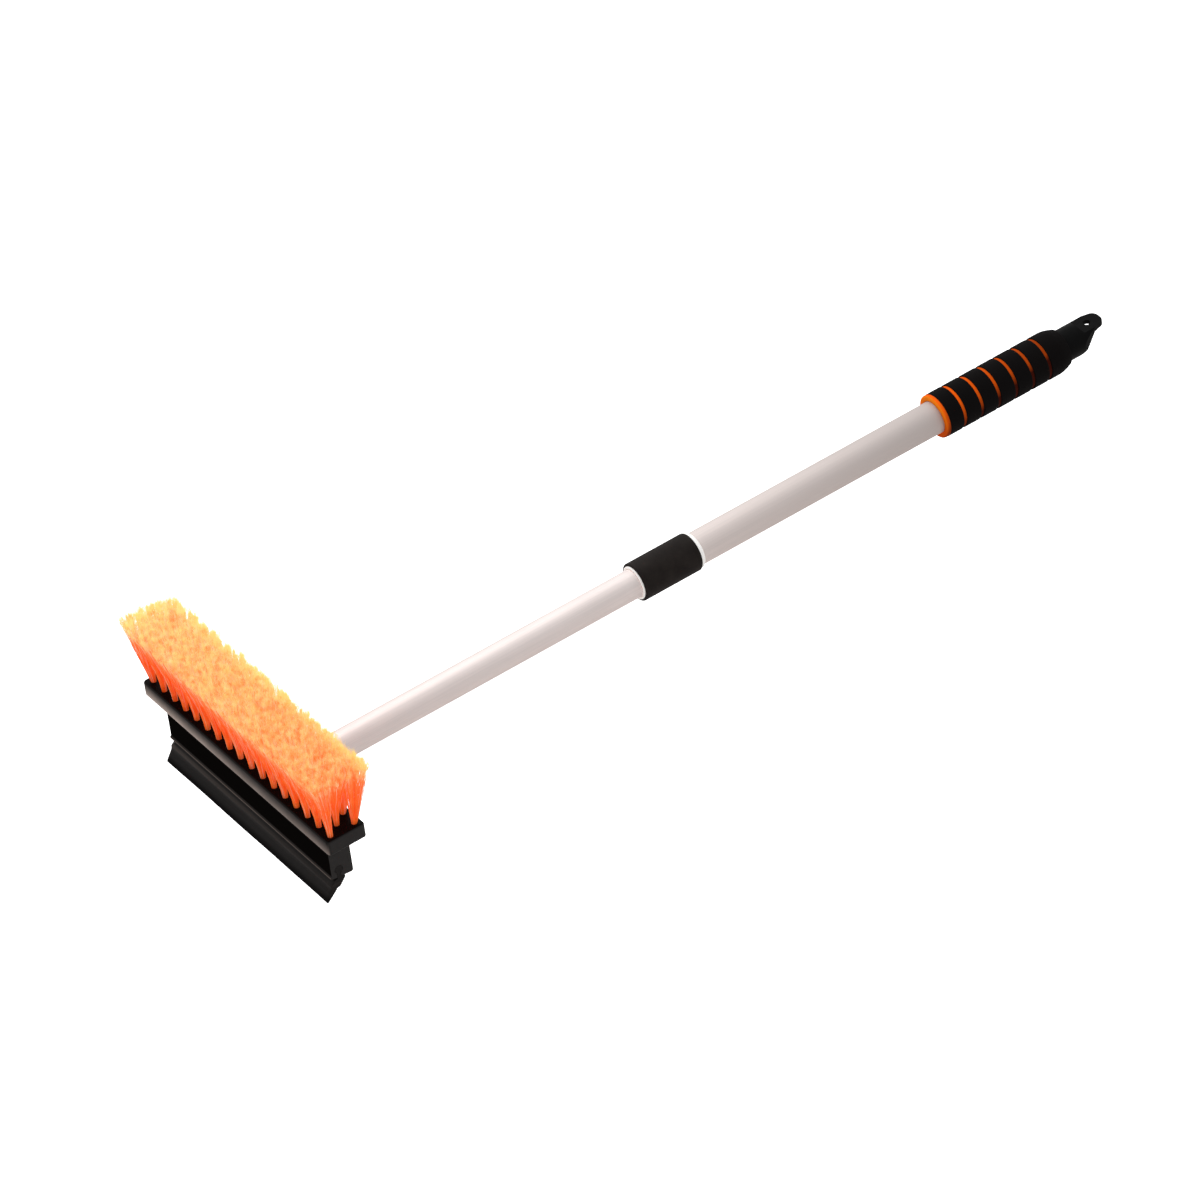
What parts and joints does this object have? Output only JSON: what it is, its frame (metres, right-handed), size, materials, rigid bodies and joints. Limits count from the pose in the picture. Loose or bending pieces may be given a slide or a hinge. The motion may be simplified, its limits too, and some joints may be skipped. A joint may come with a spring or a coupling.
{
  "type": "snow brush",
  "caption": "Snow brush with a tufted bristle head above a squeegee blade, on a telescopic twist-lock pole with a foam grip and a hang tab.",
  "frame": {"origin": "centre of the hang hole in the end cap's tab, at the middle of the tab's thickness", "axes": "+X across the head, +Y along the pole from the head towards the grip, +Z the way the bristles point and up through the hang hole"},
  "size_m": [0.2358, 0.7665, 0.1214],
  "materials": {
    "head_plastic": "moulded, satin black",
    "bristle_fibre": "crimped orange filament with paler tips",
    "zinc_steel": "zinc plated",
    "blade_rubber": "dull brownish black",
    "lock_nylon": "natural grey nylon",
    "bush_nylon": "white nylon",
    "pole_aluminium": "satin silver anodised",
    "rivet_aluminium": "plain",
    "collar_rubber": "soft matt black",
    "orange_foam": "closed-cell foam",
    "black_foam": "closed-cell foam",
    "cap_plastic": "moulded, fine grain"
  },
  "bodies": {
    "handle": {"outer_pole": "pole_aluminium", "stop_sleeve": "bush_nylon", "guide_bush": "bush_nylon", "collar_sleeve": "collar_rubber", "grip_core": "orange_foam", "grip_bands": "black_foam", "end_cap": "cap_plastic", "cap_rivets": "rivet_aluminium"},
    "cam_carriage": {"cam_ring": "lock_nylon"},
    "pole_and_head": {"head_body": "head_plastic", "front_tufts": "bristle_fibre", "middle_tufts": "bristle_fibre", "rear_tufts": "bristle_fibre", "tuft_anchors": "zinc_steel", "squeegee_blade": "blade_rubber", "blade_pins": "zinc_steel", "socket_screws": "zinc_steel", "pole_nose_plug": "lock_nylon", "inner_pole": "pole_aluminium", "cam_plug": "lock_nylon", "cam_plug_rivets": "rivet_aluminium", "cam_washer": "zinc_steel", "cam_screw": "zinc_steel"}
  },
  "joints": [
    {"name": "pole_slide", "type": "slide", "parent": "handle", "child": "cam_carriage", "axis": [0, 1, 0], "range_m": [0, 0.25]},
    {"name": "pole_twist", "type": "hinge", "parent": "cam_carriage", "child": "pole_and_head", "pos_m": [0, 0, -0.0074], "axis": [0, 1, 0], "range_deg": [-90, 90]}
  ]
}
